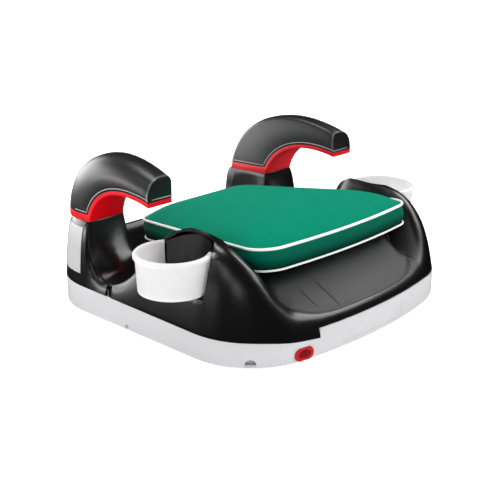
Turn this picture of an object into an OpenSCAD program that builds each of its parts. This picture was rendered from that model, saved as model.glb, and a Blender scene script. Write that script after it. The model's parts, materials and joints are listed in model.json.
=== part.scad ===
// Backless booster seat: base tray, moulded seat shell, two horn armrests, cushion, cup holders, push button.
// Millimetres. The origin is on the floor under the middle of the seat; the child faces -Y.

/* [Plan] */
// Width of the base tray and the seat shell
seat_w = 430; // [415:1:445]
// Depth of the base tray and the seat shell
seat_d = 418; // [405:1:435]
// Radius of the front corners
front_r = 101; // [92:1:108]
// Radius of the rear corners
rear_r = 80; // [74:1:88]
// Degrees that the bowed front edge turns before a corner starts
front_sweep = 11; // [9:0.5:13]

/* [Base tray] */
// Height of the tray's underside above the floor
tray_z = 2; // [1.5:0.25:3]
// Thickness of the tray's wall
tray_wall = 3; // [2.5:0.25:4]
// Thickness of the tray's floor
tray_floor = 3; // [2.5:0.25:4]
// Height of the seam between tray and shell, its side line carried on to the front edge
seam_front_z = 35.5; // [33:0.5:37]
// Height of the seam at the rear edge
seam_back_z = 41.5; // [38:0.5:44]
// Depth that the seam dips under its side line at the front edge
seam_dip = 14.5; // [11:0.5:15]
// Length of the dip along the seat's depth
seam_dip_d = 49; // [42:1:56]
// Height of the raised front panel's top edge
panel_z = 39; // [37.5:0.5:41]
// Distance from the seat's side to the panel's step beside the button
panel_step_in = 114; // [109:1:119]
// Depth of the shallow field in the front panel
field_depth = 1; // [0.6:0.1:1.5]
// Width of the shallow field in the front panel
field_w = 126; // [100:1:150]
// Radius of the rubber feet
foot_r = 13; // [10:0.5:16]
// Thickness of the rubber feet
foot_t = 3.6; // [3.2:0.1:4.4]

/* [Seat shell] */
// Thickness of the moulded shell
shell_wall = 3; // [2.5:0.25:3.5]
// Height of the front lip
lip_z = 51; // [49:0.5:54]
// Height of the side bolsters over the cup holders
arch_z = 146; // [142:0.5:150]
// Lowest height of the belt path between bolster and armrest
belt_z = 54.5; // [52:0.5:57]
// Height of the armrest posts
post_z = 128; // [124:0.5:132]
// Fall of a post's top towards the rear, in degrees
post_tilt = 2.4; // [1:0.1:4]
// Width of an armrest post
post_w = 59; // [55:0.5:62]
// Distance from the rear edge to the front face of a post
post_depth = 93.5; // [88:0.5:98]
// Distance that a post stands back from the outline
post_inset = 14; // [12:0.5:16]
// Height of the seat pan at its front edge
pan_z = 101; // [98:0.5:104]
// Fall of the seat pan towards the rear, in degrees
pan_fall = 6.2; // [5.6:0.1:6.8]
// Height of the rear rim between the posts
rear_rim_z = 79; // [77:0.5:82]

/* [Cup holders] */
// Distance from the seat's middle to a cup's axis, along the seat's depth
cup_y = -58; // [-62:0.5:-54]
// Distance of a cup's axis inside the seat's side
cup_in = 4.5; // [2:0.5:7]
// Outer radius of a cup's wall at the rim
cup_r = 46.3; // [44:0.1:47]
// Thickness of a cup's wall
cup_wall = 2.8; // [2.2:0.1:3.4]
// Height of a cup's rim above the floor
cup_rim_z = 132; // [129:0.5:134]
// Height of a cup
cup_h = 48.5; // [46:0.5:51]
// Taper of a cup's wall from rim to bottom
cup_taper = 2.6; // [1.5:0.1:3.5]
// Height of the lip round the rim
rim_h = 6.5; // [5:0.5:8]
// Distance that the lip stands out
rim_out = 2; // [1.2:0.1:2.4]
// Radius of the ball at the end of the rim
ball_r = 4.2; // [3.6:0.1:4.6]
// Distance of the ball's middle outside the cup's wall
ball_out = 4.5; // [3.5:0.25:5]
// Width of the tongue under the cup
tongue_w = 20; // [16:1:26]
// Thickness of the tongue
tongue_t = 2.5; // [2:0.1:3]
// Thickness of the niche liner
liner_t = 2.4; // [1.8:0.1:2.8]

/* [Armrests] */
// Height of the underside at an armrest's tip
tip_low_z = 172; // [168:0.5:176]
// Height of an armrest's tip, from its underside to its top
tip_h = 35.5; // [32:0.5:40]
// Position of the tip along the seat's depth
tip_y = -4; // [-10:0.5:2]
// Width of an armrest's tip
tip_w = 39.5; // [36:0.5:43]
// Height of the red band round the post
band_h = 10; // [8:0.5:13]
// Thickness of the red strip along the underside
strip_t = 6; // [4.5:0.25:7.5]
// Width of the core's spine inside the pad
spine_w = 16; // [12:0.5:20]
// Height of the spine above the strip
spine_h = 13; // [10:0.5:15]

/* [Cushion] */
// Distance of the cushion's widest place inside the seat's side
cushion_side_in = 70; // [69:0.5:75]
// Distance of the cushion's rear corners inside the seat's side
cushion_rear_in = 113; // [109:0.5:117]
// Distance of the cushion's front corners behind the seat's front
cushion_front_in = 52; // [50:0.5:59]
// Distance of the cushion's rear edge inside the seat's rear
cushion_back_in = 72; // [67:0.5:78]
// Radius of the cushion's corners
cushion_r = 32; // [29:0.5:40]
// Bow of the cushion's front edge
cushion_bow = 8; // [5:0.5:10]
// Height of the cushion's boxing, between the two pipings
boxing_h = 27; // [24:0.5:30]
// Crown of the cushion's top panel
crown_h = 25; // [18:0.5:28]
// Distance that the boxing bulges between the pipings
boxing_bulge = 1.5; // [0:0.25:3]
// Diameter of the piping
piping_d = 4; // [3:0.25:5]
// Thickness of the hook-and-loop strips
tape_t = 3; // [2:0.25:4]

/* [Push button] */
// Distance of the button's middle inside the seat's side
button_in = 88.5; // [86:0.5:92]
// Height of the button's middle
button_z = 12.75; // [12.5:0.25:14.5]
// Width of the button
button_w = 28; // [25:0.5:30]
// Height of the button
button_h = 16; // [14:0.5:16.5]
// Length of the button's cap
cap_l = 10; // [8:0.5:12]
// Radius of the button's stem
stem_r = 4; // [3:0.25:4.5]
// Distance from the outline to the guide wall
guide_in = 30; // [26:0.5:34]
// Thickness of the guide wall
guide_t = 3; // [2:0.25:4]
// Travel of the button
button_travel = 4; // [3:0.25:5]
// Wire diameter of the return spring
wire_d = 0.9; // [0.7:0.05:1.1]

/* [Fasteners and clearances] */
// Radius of the screws' shanks
screw_r = 2; // [1.6:0.1:2.4]
// Radius of the screws' heads
head_r = 4.2; // [3.6:0.1:4.8]
// Thickness of the screws' heads
head_t = 3; // [2.5:0.25:3.5]
// Gap in the seam between tray and shell
seam_gap = 0.3; // [0.2:0.05:0.4]
// Clearance between fixed pieces
fit_gap = 0.3; // [0.2:0.05:0.35]
// Clearance round pieces that slide
slide_gap = 0.4; // [0.35:0.05:0.6]

/* [Hidden] */
$fn = 64;

half_w = seat_w / 2;
y_front = -seat_d / 2;
y_back = seat_d / 2;
far = 2 * seat_w;

// Plan outline: a bowed front, two front corners, straight sides, two rear corners and a straight rear.
corner_x = half_w - front_r;
bow_r = front_r + corner_x / sin(front_sweep);
bow_y = y_front + bow_r;
corner_y = bow_y - (bow_r - front_r) * cos(front_sweep);
rear_x = half_w - rear_r;
rear_y = y_back - rear_r;

// Seam, pan plane and the heights that follow from them. The seam rises to the rear and dips at the front.
seam_rise = (seam_back_z - seam_front_z) / seat_d;
function dip_share(y) = min(1, max(0, 1 - (y - y_front) / seam_dip_d));
function seam_z(y) = seam_front_z + seam_rise * (y - y_front) - seam_dip * dip_share(y)^3;
slope_d = 92;
pan_front_y = y_front + slope_d;
function pan_at(y) = pan_z - tan(pan_fall) * (y - pan_front_y);

post_front_y = y_back - post_depth;
post_inner_x = half_w - post_inset - post_w;
panel_step_x = half_w - panel_step_in;
button_x = half_w - button_in;
cup_x = half_w - cup_in;
cup_bottom_z = cup_rim_z - cup_h;
niche_r = cup_r + rim_out + 1.2;

// Small helpers: blending, curves through points, Bezier curves.
function mix(a, b, t) = a + (b - a) * t;
function slope_at(p, i, k) =
    let (n = len(p) - 1, a = max(i - 1, 0), b = min(i + 1, n))
    (p[b][k] - p[a][k]) / (p[b][0] - p[a][0]);
function span_of(p, v, i = 0) = (i >= len(p) - 2 || v <= p[i + 1][0]) ? i : span_of(p, v, i + 1);
function hermite(a, b, ma, mb, t) =
    (2 * t^3 - 3 * t^2 + 1) * a + (t^3 - 2 * t^2 + t) * ma + (3 * t^2 - 2 * t^3) * b + (t^3 - t^2) * mb;
function curve_at(p, v, k) =
    let (i = span_of(p, v), h = p[i + 1][0] - p[i][0], t = (v - p[i][0]) / h)
    hermite(p[i][k], p[i + 1][k], slope_at(p, i, k) * h, slope_at(p, i + 1, k) * h, t);
function bezier(p, t) =
    (1 - t)^3 * p[0] + 3 * (1 - t)^2 * t * p[1] + 3 * (1 - t) * t^2 * p[2] + t^3 * p[3];

// Stations round one half of the outline, front middle to rear middle: [zone, place in the zone].
FRONT = 0;
FRONT_CORNER = 1;
SIDE = 2;
REAR_CORNER = 3;
REAR = 4;
post_end_angle = acos((post_inner_x - rear_x + 1) / (rear_r - post_inset));
belt_y = post_front_y - 35;
arch_y = cup_y + 8;
side_places = concat(
    [for (i = [1:8]) mix(corner_y, arch_y + 22, i / 8)],
    [for (i = [1:8]) mix(arch_y + 22, belt_y - 4, i / 8)],
    [for (i = [1:12]) mix(belt_y - 4, post_front_y + 0.5, 1 - (1 - i / 12)^1.6)],
    [rear_y]);
half_stations = concat(
    [for (u = [0, 0.25, 0.5, 0.62, 0.74, 0.83, 0.92]) [FRONT, front_sweep * u]],
    [for (i = [0:11]) [FRONT_CORNER, mix(front_sweep, 90, i / 11)]],
    [for (y = side_places) [SIDE, y]],
    [for (i = [1:6]) [REAR_CORNER, post_end_angle * i / 6]],
    [[REAR_CORNER, post_end_angle + 2.5], [REAR_CORNER, mix(post_end_angle, 90, 0.6)]],
    [for (i = [4:-1:0]) [REAR, i / 4]]);
half_n = len(half_stations);

// Point of the outline at a station, moved in by an inset.
function rim(s, inset) =
    s[0] == FRONT ? [(bow_r - inset) * sin(s[1]), bow_y - (bow_r - inset) * cos(s[1])] :
    s[0] == FRONT_CORNER ?
        [corner_x + (front_r - inset) * sin(s[1]), corner_y - (front_r - inset) * cos(s[1])] :
    s[0] == SIDE ? [half_w - inset, s[1]] :
    s[0] == REAR_CORNER ?
        [rear_x + (rear_r - inset) * cos(s[1]), rear_y + (rear_r - inset) * sin(s[1])] :
    [rear_x * s[1], y_back - inset];

// Ridge of the seat shell: [share or place, outer edge's inset, inner edge's inset, height,
// foot's inset, foot's height, pan edge's inset]. The foot is where the flank behind the ridge flattens.
lip_inset = 10;
lip_w = 4;
fall_foot = [lip_inset + 34, mix(lip_z, pan_z, 0.38)];
front_ridge = [
    [0, lip_inset, lip_inset + lip_w, lip_z, fall_foot[0], fall_foot[1], slope_d],
    [0.55, lip_inset, lip_inset + lip_w, lip_z, fall_foot[0], fall_foot[1], slope_d],
    [0.78, lip_inset + 5, lip_inset + 10, lip_z + 4, fall_foot[0], fall_foot[1], slope_d - 1],
    [1, lip_inset + 16, lip_inset + 22, lip_z + 15, fall_foot[0], fall_foot[1] - 2, slope_d - 4]];
corner_ridge = [
    [0, lip_inset + 16, lip_inset + 22, lip_z + 15, fall_foot[0], fall_foot[1] - 2, slope_d - 4],
    [0.165, 29, 35, lip_z + 33, 57, fall_foot[1] + 2, 87],
    [0.367, 31, 38, lip_z + 61, 64, pan_z - 17, 86],
    [0.734, 37, 46, arch_z - 10, 67, pan_z - 5, 78],
    [1, 41, 52, arch_z - 3, 67, pan_z - 1, 74]];
post_wall = half_w - post_inner_x;
function post_top(y) = post_z - tan(post_tilt) * (y - post_front_y);
function bowl(y, outer, inner, z, pan) =
    [y, outer, inner, z, mix(inner, pan, 0.5), mix(pan_at(y), z, 0.36), pan];
side_ridge = [
    [corner_y, 41, 52, arch_z - 3, 67, pan_at(corner_y), 74],
    [arch_y - 24, 42, 54, arch_z - 1, 67, pan_at(arch_y) + 3, 74],
    [arch_y, 42, 55, arch_z, 67, pan_at(arch_y) + 5, 75],
    bowl(arch_y + 24, 40, 54, arch_z - 4, 77),
    bowl(arch_y + 49, 29, 41, arch_z - 23, 81),
    bowl(arch_y + 72, 18, 25, belt_z + 32, 85),
    bowl(belt_y - 35, 11, 15, belt_z + 9, 88),
    bowl(belt_y - 15, 8, 11, belt_z + 1.5, 91),
    bowl(belt_y, 8, 11, belt_z, 92),
    bowl(belt_y + 12, 8, 12, belt_z + 4, 92),
    bowl(belt_y + 21, 9, 18, belt_z + 12, 90),
    bowl(belt_y + 27, 10.5, 30, belt_z + 24, 88),
    bowl(belt_y + 31, 12.5, post_wall - 19, post_z - 30, post_wall + 12),
    bowl(belt_y + 33.5, post_inset, post_wall - 5, post_z - 8, post_wall + 9),
    bowl(belt_y + 35.5, post_inset, post_wall, post_z, post_wall + 8),
    bowl(rear_y + 1, post_inset, post_wall, post_top(rear_y + 1), post_wall + 8)];
function without_place(r) = [for (k = [1:6]) r[k]];
rear_ridge = without_place(bowl(y_back - 28, lip_inset, lip_inset + 6, rear_rim_z, 34));
function post_ridge(a) =
    let (edge = max(rear_r - (post_inner_x - rear_x) / cos(a), post_inset + 2),
        y = rear_y + (rear_r - post_inset) * sin(a))
    without_place(bowl(y, post_inset, edge, post_top(y), edge + 8));
function row(p, v) = [for (k = [1:6]) curve_at(p, v, k)];
function ridge(s) =
    s[0] == FRONT ? row(front_ridge, s[1] / front_sweep) :
    s[0] == FRONT_CORNER ? row(corner_ridge, (s[1] - front_sweep) / (90 - front_sweep)) :
    s[0] == SIDE ? row(side_ridge, s[1]) :
    s[0] == REAR_CORNER && s[1] <= post_end_angle ? post_ridge(s[1]) : rear_ridge;

// Column of points over one station, from the seam up to the pan. The skin lies in by depth.
outer_walls = [0.03, 0.09, 0.18, 0.3, 0.45, 0.63, 0.83];
outer_flank = [0.3, 0.65, 1];
outer_floor = [0.35, 0.7];
inner_walls = [0.09, 0.3, 0.6];
inner_flank = [1];
inner_floor = [0.5];
wall_bulge = 2.8;
function rise(u) = (1 - exp(-wall_bulge * u)) / (1 - exp(-wall_bulge));
function ease(u, power) = 1 - (1 - u)^power;
function on_rim(s, inset, z) = [rim(s, inset)[0], rim(s, inset)[1], z];
function column(s, walls, flank, floor, depth) =
    let (r = ridge(s), foot = rim(s, depth), seam = seam_z(foot[1]),
        thin = max(0, 2 * depth - (r[1] - r[0])) / 2,
        outer = r[0] + depth - thin, inner = r[1] - depth + thin,
        lean = s[0] == REAR_CORNER && s[1] <= post_end_angle ? tan(post_tilt) : 0,
        top = r[2] - depth - 2 * thin - lean * (rim(s, outer)[1] - rim(s, r[0])[1]),
        inner_top = top - lean * (rim(s, inner)[1] - rim(s, outer)[1]),
        low_in = r[3] - depth * sign(r[2] - r[4]), low = r[4] - depth,
        pan_in = r[5] - depth * sign(r[4] - pan_at(rim(s, r[5])[1])),
        pan_h = pan_at(rim(s, pan_in)[1]) - depth)
    concat(
        [on_rim(s, depth, seam + seam_gap)],
        [for (u = walls) on_rim(s, mix(depth, outer, u), mix(seam, top, rise(u)))],
        [on_rim(s, outer, top), on_rim(s, inner, inner_top)],
        [for (u = flank) on_rim(s, mix(inner, low_in, u), mix(inner_top, low, ease(u, 1.2)))],
        [for (u = floor) on_rim(s, mix(low_in, pan_in, u), mix(low, pan_h, ease(u, 1.4)))],
        [on_rim(s, pan_in, pan_h)]);

// Rings of quads round a closed row of columns, and a polyhedron with both ends capped.
function both_sides(half) = concat(half,
    [for (i = [len(half) - 2:-1:1]) [for (p = half[i]) [-p[0], p[1], p[2]]]]);
function ring_faces(n, m, from, to) = [for (i = [0:n - 1]) for (j = [from:to - 1])
    let (a = i * m + j, b = ((i + 1) % n) * m + j)
    each [[a, a + 1, b + 1], [a, b + 1, b]]];
function up_cap(n, m, j) = [for (i = [n - 1:-1:0]) i * m + j];
function down_cap(n, m, j) = [for (i = [0:n - 1]) i * m + j];
module closed_rings(columns) {
    n = len(columns);
    m = len(columns[0]);
    polyhedron(
        points = [for (c = columns) each c],
        faces = concat(ring_faces(n, m, 0, m - 1), [down_cap(n, m, 0), up_cap(n, m, m - 1)]));
}
// Thin moulding: up the outer skin to the pan, down the inner skin, and across the rim at the seam.
module moulded_skin() {
    columns = both_sides([for (s = half_stations)
        let (inner = column(s, inner_walls, inner_flank, inner_floor, shell_wall), last = len(inner) - 1)
        concat(column(s, outer_walls, outer_flank, outer_floor, 0), [for (j = [last:-1:0]) inner[j]])]);
    n = len(columns);
    m = len(columns[0]);
    pan = len(outer_walls) + len(outer_flank) + len(outer_floor) + 3;
    rim_faces = [for (i = [0:n - 1])
        let (a = i * m + m - 1, b = ((i + 1) % n) * m + m - 1)
        each [[a, a - m + 1, b - m + 1], [a, b - m + 1, b]]];
    polyhedron(
        points = [for (c = columns) each c],
        faces = concat(ring_faces(n, m, 0, pan), [up_cap(n, m, pan)],
            ring_faces(n, m, pan + 1, m - 1), [down_cap(n, m, pan + 1)], rim_faces));
}

// Closed loft through rings of the plan outline: [inset, height] from the bottom up.
module loft(levels) {
    closed_rings(both_sides([for (s = half_stations) [for (l = levels) on_rim(s, l[0], l[1])]]));
}

// Everything under the seam: the seam's line carried across, and the block of the raised front panel.
panel_end_y = corner_y - front_r * cos(56);
module front_block() {
    translate([-panel_step_x - seam_gap / 2, -far / 2, -far / 2])
        cube([far, far / 2 + panel_end_y, far / 2 + panel_z]);
}
module below_seam() {
    past = 20;
    dip_places = [for (i = [0:24]) y_front + seam_dip_d * i / 24];
    places = concat([y_front - past], dip_places, [y_back + past]);
    rotate([90, 0, 90]) linear_extrude(far, center = true) polygon(concat(
        [for (y = places) [y, seam_z(y)]],
        [[y_back + past, -past], [y_front - past, -past]]));
    translate([seam_gap, -seam_gap, 0]) front_block();
}

// Levels of the tray's loft: a rounded bottom edge and a steep wall.
tray_round = 6;
function tray_levels(inset, low) = [
    [inset + tray_round, low],
    [inset + tray_round * 0.4, low + 1.5],
    [inset + 0.4, low + tray_round],
    [inset, low + far / 4]];

// Places of the screws and feet, for the right half, by their distances inside the outline.
front_screw_in = 105;
front_screw_back = 110;
middle_screw_in = 112;
middle_screw_back = 240;
rear_screw_in = 130;
rear_screw_front = 60;
front_foot_in = 60;
front_foot_back = 62;
rear_foot_in = 52;
screw_places = [
    [half_w - front_screw_in, y_front + front_screw_back],
    [half_w - middle_screw_in, y_front + middle_screw_back],
    [half_w - rear_screw_in, y_back - rear_screw_front]];
foot_places = [
    [half_w - front_foot_in, y_front + front_foot_back],
    [half_w - rear_foot_in, y_back - rear_foot_in]];
module each_place(places) {
    for (side = [-1, 1]) for (p = places) translate([side * p[0], p[1], 0]) children();
}
tray_boss_r = head_r + 3;
screw_seat_z = tray_z + 22;
screw_l = 26;
screw_top_z = screw_seat_z + screw_l;
pilot_gap = 0.05;

// Frame of the push button: origin on the outline, +Y inwards along its travel.
button_turn = asin(button_x / bow_r);
module at_button() {
    translate([-button_x, bow_y - bow_r * cos(button_turn), button_z])
        rotate([0, 0, -button_turn]) children();
}
module along_y(from, length) {
    translate([0, from, 0]) rotate([-90, 0, 0]) linear_extrude(length) children();
}
module button_shape(grow) {
    straight = (button_w - button_h) / 2;
    square([2 * straight, button_h + 2 * grow], center = true);
    for (side = [-1, 1]) translate([side * straight, 0]) circle(button_h / 2 + grow);
}
button_proud = 1.2;
clip_t = 2;
clip_from = guide_in + guide_t + fit_gap;
stem_end = clip_from + clip_t + 1.5;

// Snap fingers on the tray's sides, each in a slot of the shell and over a fine groove.
snap_y = belt_y - 15;
snap_w = 2.6;
snap_h = 11;
snap_root = 8;
snap_room = 4;
groove_w = 0.8;
groove_l = 13;

module base_tray() {
    floor_z = tray_z + tray_floor;
    color("white") union() {
        difference() {
            intersection() {
                difference() {
                    loft(tray_levels(0, tray_z));
                    loft(tray_levels(tray_wall, floor_z));
                }
                below_seam();
            }
            front_field();
            at_button() along_y(-5, cap_l + button_travel + 6) button_shape(slide_gap);
            each_place(foot_places) cylinder(r = foot_r + fit_gap, h = foot_t + fit_gap);
            each_place(screw_places) cylinder(r = head_r + 1, h = screw_seat_z);
            notches();
            for (side = [-1, 1]) translate([side * half_w, snap_y + snap_w, seam_z(snap_y)])
                cube([2 * groove_w, groove_w, 2 * groove_l], center = true);
        }
        for (p = screw_places) each_place([p]) difference() {
            translate([0, 0, tray_z + 1])
                cylinder(r = tray_boss_r, h = seam_z(p[1] - tray_boss_r) - tray_z - 1);
            cylinder(r = head_r + 1, h = screw_seat_z);
            cylinder(r = screw_r + fit_gap, h = far / 4);
        }
        foot_seats();
        guide_wall();
        tray_ribs();
        for (side = [-1, 1]) snap_finger(side);
    }
}
module foot_seats() {
    each_place(foot_places) translate([0, 0, foot_t + fit_gap]) cylinder(r = foot_r + 2, h = 2.5);
}
module front_field() {
    low = tray_z + 8;
    difference() {
        translate([-field_w / 2, y_front - 5, low]) cube([field_w, 40, panel_z - 12 - low]);
        translate([0, bow_y, 0]) cylinder(r = bow_r - field_depth, h = far / 4, $fn = 240);
    }
}
// Round-topped notches in the tray's lower edge: one under each front corner, a small one in each side.
module notch(r, h) {
    rotate([90, 0, 0]) linear_extrude(2 * tray_round, center = true) {
        translate([0, h - r]) circle(r);
        translate([-r, -r]) square([2 * r, h]);
    }
}
notch_turn = 47;
side_notch_back = 239;
module notches() {
    for (side = [-1, 1]) {
        translate([side * corner_x, corner_y, tray_z]) rotate([0, 0, side * notch_turn])
            translate([0, -front_r, 0]) notch(7, 13);
        translate([side * half_w, y_front + side_notch_back, tray_z]) rotate([0, 0, 90]) notch(3.5, 9);
    }
}
module guide_wall() {
    at_button() difference() {
        translate([-button_w / 2, guide_in, -button_z + tray_z + 1])
            cube([button_w, guide_t, button_z + stem_r + 5 - tray_z - 1]);
        along_y(guide_in - 1, guide_t + 2) circle(stem_r + slide_gap);
    }
}
module tray_ribs() {
    rib_t = 2.4;
    rib_h = 17;
    rib_in = 66;
    low = tray_z + 1;
    for (side = [-1, 1]) {
        translate([side * half_w * 0.3 - rib_t / 2, y_front + rib_in, low])
            cube([rib_t, seat_d - 2 * rib_in, rib_h]);
        translate([-half_w + rib_in, side * seat_d / 6 - rib_t / 2, low])
            cube([seat_w - 2 * rib_in, rib_t, rib_h]);
    }
}
module snap_finger(side) {
    finger_t = 2;
    finger_in = 0.8;
    translate([side * (half_w - finger_t / 2 - finger_in), snap_y, seam_z(snap_y) + (snap_h - snap_root) / 2])
        cube([finger_t, snap_w, snap_h + snap_root], center = true);
}

module rubber_feet() {
    color([0.12, 0.12, 0.13]) each_place(foot_places) cylinder(r = foot_r, h = foot_t);
}

module base_screws() {
    color("silver") each_place(screw_places) {
        translate([0, 0, screw_seat_z - head_t]) cylinder(r = head_r, h = head_t);
        translate([0, 0, screw_seat_z - 1]) cylinder(r = screw_r, h = screw_l + 1);
    }
}

// Left-hand niche frame: origin on the cup's axis, +X towards the seat's middle.
module at_cup(side) {
    mirror([side > 0 ? 1 : 0, 0, 0]) translate([-cup_x, cup_y, 0]) children();
}
ball_angle = -50;
ball_way = cup_r + ball_out;
ball_at = [ball_way * cos(ball_angle), ball_way * sin(ball_angle), cup_rim_z - 0.75 * rim_h];
liner_floor_t = 3;
liner_low_z = cup_bottom_z - fit_gap - liner_floor_t;
tongue_l = niche_r + 6;
liner_to = 57;
cup_from = liner_to + 4;

module seat_shell() {
    color([0.16, 0.16, 0.17]) difference() {
        union() {
            moulded_skin();
            for (p = screw_places) each_place([p]) translate([0, 0, seam_z(p[1]) + 1])
                cylinder(r = screw_r + 3, h = pan_at(p[1]) - shell_wall / 2 - seam_z(p[1]) - 1);
        }
        translate([0, 0, seam_gap]) front_block();
        for (side = [-1, 1]) {
            at_cup(side) niche();
            snap_slot(side);
        }
        for (side = [-1, 1]) each_arm_screw(side)
            translate([0, 0, -20]) cylinder(r = screw_r + fit_gap, h = 40);
        each_place(screw_places) cylinder(r = screw_r + pilot_gap, h = screw_top_z + 2);
    }
}
// Room for a cup and its liner, with a groove and an open socket for the ball at the end of the cup's rim.
socket_way = [-11, -11, 5];
module niche() {
    translate([0, 0, liner_low_z - fit_gap]) cylinder(r = niche_r, h = far / 4, $fn = 96);
    translate(ball_at + [-far / 8, 0, 0]) rotate([0, 90, 0])
        cylinder(r = ball_r + slide_gap, h = far / 8 + ball_r + slide_gap);
    hull() for (u = [0, 1]) translate(ball_at + u * socket_way) sphere(r = ball_r + slide_gap, $fn = 24);
}
module snap_slot(side) {
    translate([side * half_w, snap_y, seam_z(snap_y) + snap_h / 2 + 1])
        cube([4 * shell_wall, snap_w + 2 * snap_room, snap_h + 6], center = true);
}

// Black liner behind and under a cup: an arched wall, a half floor and a slot for the cup's tongue.
module niche_liner(side) {
    liner_r = niche_r - fit_gap;
    arch_r = 75;
    floor_from = 4;
    from = ball_angle + asin((ball_r + 2 * slide_gap) / cup_r);
    color([0.2, 0.2, 0.21]) at_cup(side) difference() {
        union() {
            intersection() {
                rotate([0, 0, from]) rotate_extrude(angle = liner_to - from, $fn = 96)
                    translate([liner_r - liner_t, liner_low_z]) square([liner_t, far / 8]);
                translate([0, 0, arch_z - 5 - arch_r]) rotate([0, 90, 0])
                    cylinder(r = arch_r, h = far / 4, $fn = 96);
            }
            intersection() {
                translate([0, 0, liner_low_z]) cylinder(r = liner_r, h = liner_floor_t, $fn = 96);
                translate([floor_from, -niche_r, 0]) cube([2 * niche_r, 2 * niche_r, far / 4]);
            }
        }
        translate([niche_r - 8, -tongue_w / 2 - slide_gap, cup_bottom_z - fit_gap])
            cube([20, tongue_w + 2 * slide_gap, tongue_t + fit_gap + slide_gap]);
    }
}
module niche_liner_left() {
    niche_liner(-1);
}
module niche_liner_right() {
    niche_liner(1);
}

// Cup: a wall open towards the niche, a lip that ends in a ball, a floor and a tongue.
module cup_holder(side) {
    low_r = cup_r - cup_taper;
    h = cup_h;
    floor_t = 3;
    color("white") at_cup(side) {
        translate([0, 0, cup_bottom_z]) {
            rotate([0, 0, cup_from]) rotate_extrude(angle = 360 + ball_angle - cup_from, $fn = 96) polygon([
                [low_r - cup_wall, 0], [low_r, 0], [cup_r - 0.4, h - rim_h],
                [cup_r + rim_out - 0.5, h - rim_h],
                [cup_r + rim_out, h - rim_h + 0.6], [cup_r + rim_out, h - 1.5], [cup_r + rim_out - 1.5, h],
                [cup_r - cup_wall, h], [low_r - cup_wall, 1]]);
            cylinder(r = low_r - 1, h = floor_t, $fn = 96);
            translate([0, -tongue_w / 2, 0]) cube([tongue_l, tongue_w, tongue_t]);
        }
        translate(ball_at) sphere(r = ball_r);
    }
}
module cup_holder_left() {
    cup_holder(-1);
}
module cup_holder_right() {
    cup_holder(1);
}

// Armrest horn: sections between an underside curve and a top curve in the side view.
arm_foot_z = post_z + fit_gap;
tip_high_z = tip_low_z + tip_h;
under = [[post_front_y + 0.5, arm_foot_z], [post_front_y - 11, post_z + 43],
    [tip_y + 64, tip_low_z + 17], [tip_y, tip_low_z]];
arm_rear_y = y_back - post_inset - 2;
over = [[arm_rear_y, post_top(arm_rear_y) + fit_gap], [arm_rear_y - 7, post_z + 79],
    [tip_y + 104, tip_high_z + 37], [tip_y, tip_high_z]];
arm_outer_x = half_w - post_inset - 0.5;
tip_inner_x = arm_outer_x - tip_w;
arm_n = 18;
function across(t) = (bezier(over, t) - bezier(under, t)) / norm(bezier(over, t) - bezier(under, t));
function arm_point(t, x, v) = let (p = bezier(under, t) + across(t) * v) [x, p[0], p[1]];
function arm_section(t) =
    let (xi = mix(post_inner_x + 0.5, tip_inner_x, t), xo = arm_outer_x,
        tall = norm(bezier(over, t) - bezier(under, t)),
        ro = mix(44, 23, t), vo = mix(62, 24, t), ri = mix(5, 8, t))
    concat(
        [arm_point(t, xi, 0), arm_point(t, xo, 0)],
        [for (a = [0:15:90]) arm_point(t, xo - ro + ro * cos(a), tall - vo + vo * sin(a))],
        [for (a = [90:30:180]) arm_point(t, xi + ri + ri * cos(a), tall - ri + ri * sin(a))]);
module horn() {
    sections = [for (i = [0:arm_n]) arm_section(i / arm_n)];
    m = len(sections[0]);
    polyhedron(
        points = [for (s = sections) each s],
        faces = concat(
            [for (i = [0:arm_n - 1]) for (j = [0:m - 1])
                let (a = i * m + j, b = i * m + (j + 1) % m)
                each [[a, b + m, b], [a, a + m, b + m]]],
            [[for (j = [0:m - 1]) j], [for (j = [m - 1:-1:0]) arm_n * m + j]]));
}
// Slab along the horn in the side view, from one distance over the underside to another.
module arm_slab(x0, width, low, high, t0, t1) {
    steps = [for (i = [0:24]) mix(t0, t1, i / 24)];
    translate([x0, 0, 0]) rotate([90, 0, 90]) linear_extrude(width) polygon(concat(
        [for (t = steps) bezier(under, t) + across(t) * low],
        [for (i = [24:-1:0]) bezier(under, steps[i]) + across(steps[i]) * high]));
}
module arm_lower(gap) {
    arm_slab(post_inner_x - 10, half_w - post_inner_x + 10, -5, strip_t + gap, -0.02, 1.02);
    translate([post_inner_x - 10, post_front_y, post_z]) rotate([-post_tilt, 0, 0]) translate([0, -10, -10])
        cube([post_wall + 10, post_depth + 10, band_h + 10 + gap]);
}
spine_x = (post_inner_x + arm_outer_x - spine_w) / 2 + 4;
module arm_spine(gap) {
    arm_slab(spine_x - gap, spine_w + 2 * gap, strip_t - 1, strip_t + spine_h + gap, 0.12, 0.86);
}
arm_screw_l = 9;
arm_screw_from = 20;
arm_screw_pitch = 26;
// Frame of a post's tilted top, at the places of its two screws.
module each_arm_screw(side) {
    translate([side * (spine_x + spine_w / 2), post_front_y, post_z]) rotate([-post_tilt, 0, 0])
        for (i = [0, 1]) translate([0, arm_screw_from + i * arm_screw_pitch, 0]) children();
}
module armrest_core(side) {
    color([0.88, 0.05, 0.08]) mirror([side < 0 ? 1 : 0, 0, 0]) difference() {
        union() {
            intersection() {
                horn();
                arm_lower(0);
            }
            arm_spine(0);
        }
        each_arm_screw(1) cylinder(r = screw_r + pilot_gap, h = arm_screw_l);
    }
}
module armrest_pad(side) {
    color([0.14, 0.14, 0.15]) mirror([side < 0 ? 1 : 0, 0, 0]) difference() {
        horn();
        arm_lower(fit_gap);
        arm_spine(fit_gap);
    }
}
module armrest_core_left() {
    armrest_core(-1);
}
module armrest_core_right() {
    armrest_core(1);
}
module armrest_pad_left() {
    armrest_pad(-1);
}
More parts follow.
